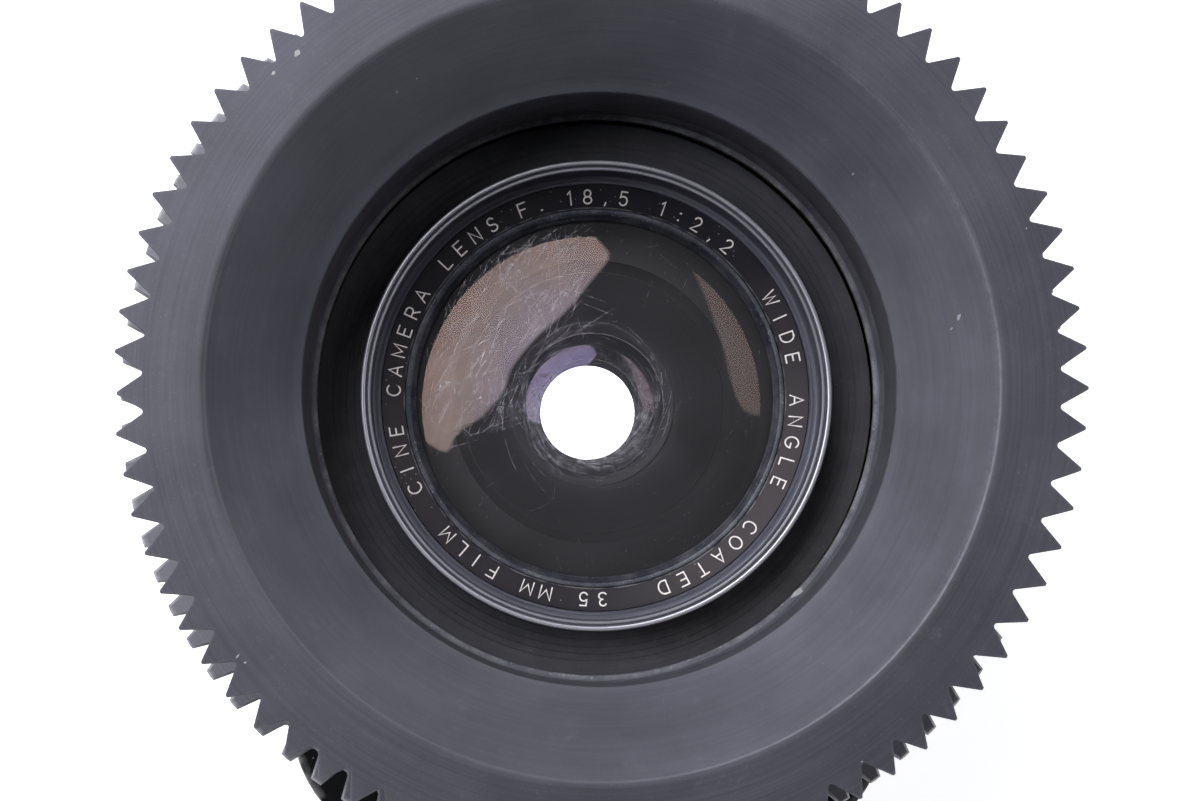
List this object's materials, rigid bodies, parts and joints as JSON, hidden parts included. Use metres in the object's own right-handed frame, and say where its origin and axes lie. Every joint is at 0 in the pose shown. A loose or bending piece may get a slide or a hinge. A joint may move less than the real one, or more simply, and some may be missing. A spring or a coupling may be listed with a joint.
{
  "type": "camera lens",
  "caption": "Wide-angle film camera lens with toothed focus and iris rings, a flared front hood, a sliding optical block, a bladed iris and a lugged mount plate.",
  "frame": {"origin": "centre of the rear face on the optical axis", "axes": "+Z along the optical axis towards the front glass, -Y towards the mount plate's lug, +X to the right seen from the front with the lug down"},
  "size_m": [0.082, 0.082, 0.066],
  "materials": {
    "grey_anodised": "black anodise worn to grey, turned grain on face and cone, bright wear on the edges",
    "dark_anodised": "satin black anodise",
    "engraved_black": "black anodise with engraved cream markings",
    "matte_black": "matt anti-reflection black, dusty",
    "black_enamel": "glossy black enamel over brass",
    "bright_rim": "black anodise worn to bright metal on the rim",
    "blued_metal": "blue-black anodise, semi-gloss",
    "blade_steel": "blackened spring steel",
    "helicoid_brass": "turned, greased brass",
    "screw_steel": "machined steel",
    "coated_glass": "polished, amber and magenta anti-reflection coating, fine cleaning scratches"
  },
  "bodies": {
    "mount": {"fixed_barrel": "dark_anodised", "index_ring": "engraved_black", "focus_stop_pin": "screw_steel", "mount_plate": "black_enamel", "rear_housing": "matte_black", "guide_key": "helicoid_brass", "locating_pin": "screw_steel", "plate_screw_1": "screw_steel", "plate_screw_2": "screw_steel", "plate_screw_3": "screw_steel", "plate_screw_4": "screw_steel"},
    "focus_ring": {"focus_gear_ring": "grey_anodised", "hood_sleeve": "matte_black", "helicoid_nut": "helicoid_brass", "distance_ring": "engraved_black", "distance_ring_screw_1": "screw_steel", "distance_ring_screw_2": "screw_steel", "distance_ring_screw_3": "screw_steel"},
    "iris_ring": {"iris_gear_ring": "dark_anodised", "aperture_ring": "engraved_black", "iris_drive_pin": "screw_steel", "iris_drive_sleeve": "helicoid_brass", "aperture_ring_screw_1": "screw_steel", "aperture_ring_screw_2": "screw_steel", "aperture_ring_screw_3": "screw_steel"},
    "optical_block": {"filter_bezel": "bright_rim", "name_ring": "engraved_black", "front_retaining_ring": "blued_metal", "front_meniscus": "coated_glass", "front_cell": "matte_black", "baffle_cone": "matte_black", "second_meniscus": "coated_glass", "optical_barrel": "matte_black", "helicoid_sleeve": "helicoid_brass", "middle_spacer": "matte_black", "middle_lens": "coated_glass", "iris_base": "matte_black", "rear_cell": "matte_black", "doublet_front": "coated_glass", "doublet_rear": "coated_glass", "rear_lens_1": "coated_glass", "rear_spacer": "matte_black", "rear_lens_2": "coated_glass", "rear_retaining_ring": "matte_black"},
    "iris_actuator": {"iris_actuator": "helicoid_brass", "actuator_pin": "screw_steel"},
    "blade_1": {"iris_blade_1": "blade_steel"},
    "blade_2": {"iris_blade_2": "blade_steel"},
    "blade_3": {"iris_blade_3": "blade_steel"},
    "blade_4": {"iris_blade_4": "blade_steel"},
    "blade_5": {"iris_blade_5": "blade_steel"},
    "blade_6": {"iris_blade_6": "blade_steel"},
    "blade_7": {"iris_blade_7": "blade_steel"},
    "blade_8": {"iris_blade_8": "blade_steel"},
    "blade_9": {"iris_blade_9": "blade_steel"},
    "blade_10": {"iris_blade_10": "blade_steel"}
  },
  "joints": [
    {"name": "focus_turn", "type": "hinge", "parent": "mount", "child": "focus_ring", "pos_m": [0, 0, 0.05], "axis": [0, 0, 1], "range_deg": [0, 170]},
    {"name": "block_slide", "type": "slide", "parent": "mount", "child": "optical_block", "axis": [0, 0, 1], "range_m": [0, 0.0015]},
    {"name": "iris_turn", "type": "hinge", "parent": "mount", "child": "iris_ring", "pos_m": [0, 0, 0.043], "axis": [0, 0, 1], "range_deg": [0, 85]},
    {"name": "actuator_turn", "type": "hinge", "parent": "optical_block", "child": "iris_actuator", "pos_m": [0, 0, 0.0225], "axis": [0, 0, 1], "range_deg": [0, 86]},
    {"name": "blade_1_swing", "type": "hinge", "parent": "optical_block", "child": "blade_1", "pos_m": [0.0122, 0, 0.021], "axis": [0, 0, 1], "range_deg": [0, 22.5]},
    {"name": "blade_2_swing", "type": "hinge", "parent": "optical_block", "child": "blade_2", "pos_m": [0.00987, 0.00717, 0.021], "axis": [0, 0, 1], "range_deg": [0, 22.5]},
    {"name": "blade_3_swing", "type": "hinge", "parent": "optical_block", "child": "blade_3", "pos_m": [0.00377, 0.0116, 0.021], "axis": [0, 0, 1], "range_deg": [0, 22.5]},
    {"name": "blade_4_swing", "type": "hinge", "parent": "optical_block", "child": "blade_4", "pos_m": [-0.00377, 0.0116, 0.021], "axis": [0, 0, 1], "range_deg": [0, 22.5]},
    {"name": "blade_5_swing", "type": "hinge", "parent": "optical_block", "child": "blade_5", "pos_m": [-0.00987, 0.00717, 0.021], "axis": [0, 0, 1], "range_deg": [0, 22.5]},
    {"name": "blade_6_swing", "type": "hinge", "parent": "optical_block", "child": "blade_6", "pos_m": [-0.0122, 0, 0.021], "axis": [0, 0, 1], "range_deg": [0, 22.5]},
    {"name": "blade_7_swing", "type": "hinge", "parent": "optical_block", "child": "blade_7", "pos_m": [-0.00987, -0.00717, 0.021], "axis": [0, 0, 1], "range_deg": [0, 22.5]},
    {"name": "blade_8_swing", "type": "hinge", "parent": "optical_block", "child": "blade_8", "pos_m": [-0.00377, -0.0116, 0.021], "axis": [0, 0, 1], "range_deg": [0, 22.5]},
    {"name": "blade_9_swing", "type": "hinge", "parent": "optical_block", "child": "blade_9", "pos_m": [0.00377, -0.0116, 0.021], "axis": [0, 0, 1], "range_deg": [0, 22.5]},
    {"name": "blade_10_swing", "type": "hinge", "parent": "optical_block", "child": "blade_10", "pos_m": [0.00987, -0.00717, 0.021], "axis": [0, 0, 1], "range_deg": [0, 22.5]}
  ],
  "couplings": [
    {"joint": "block_slide", "follows": "focus_turn", "m_per_rad": 0.0005055},
    {"joint": "actuator_turn", "follows": "iris_turn", "ratio": 1},
    {"joint": "blade_1_swing", "follows": "iris_turn", "ratio": 0.26},
    {"joint": "blade_2_swing", "follows": "iris_turn", "ratio": 0.26},
    {"joint": "blade_3_swing", "follows": "iris_turn", "ratio": 0.26},
    {"joint": "blade_4_swing", "follows": "iris_turn", "ratio": 0.26},
    {"joint": "blade_5_swing", "follows": "iris_turn", "ratio": 0.26},
    {"joint": "blade_6_swing", "follows": "iris_turn", "ratio": 0.26},
    {"joint": "blade_7_swing", "follows": "iris_turn", "ratio": 0.26},
    {"joint": "blade_8_swing", "follows": "iris_turn", "ratio": 0.26},
    {"joint": "blade_9_swing", "follows": "iris_turn", "ratio": 0.26},
    {"joint": "blade_10_swing", "follows": "iris_turn", "ratio": 0.26}
  ]
}
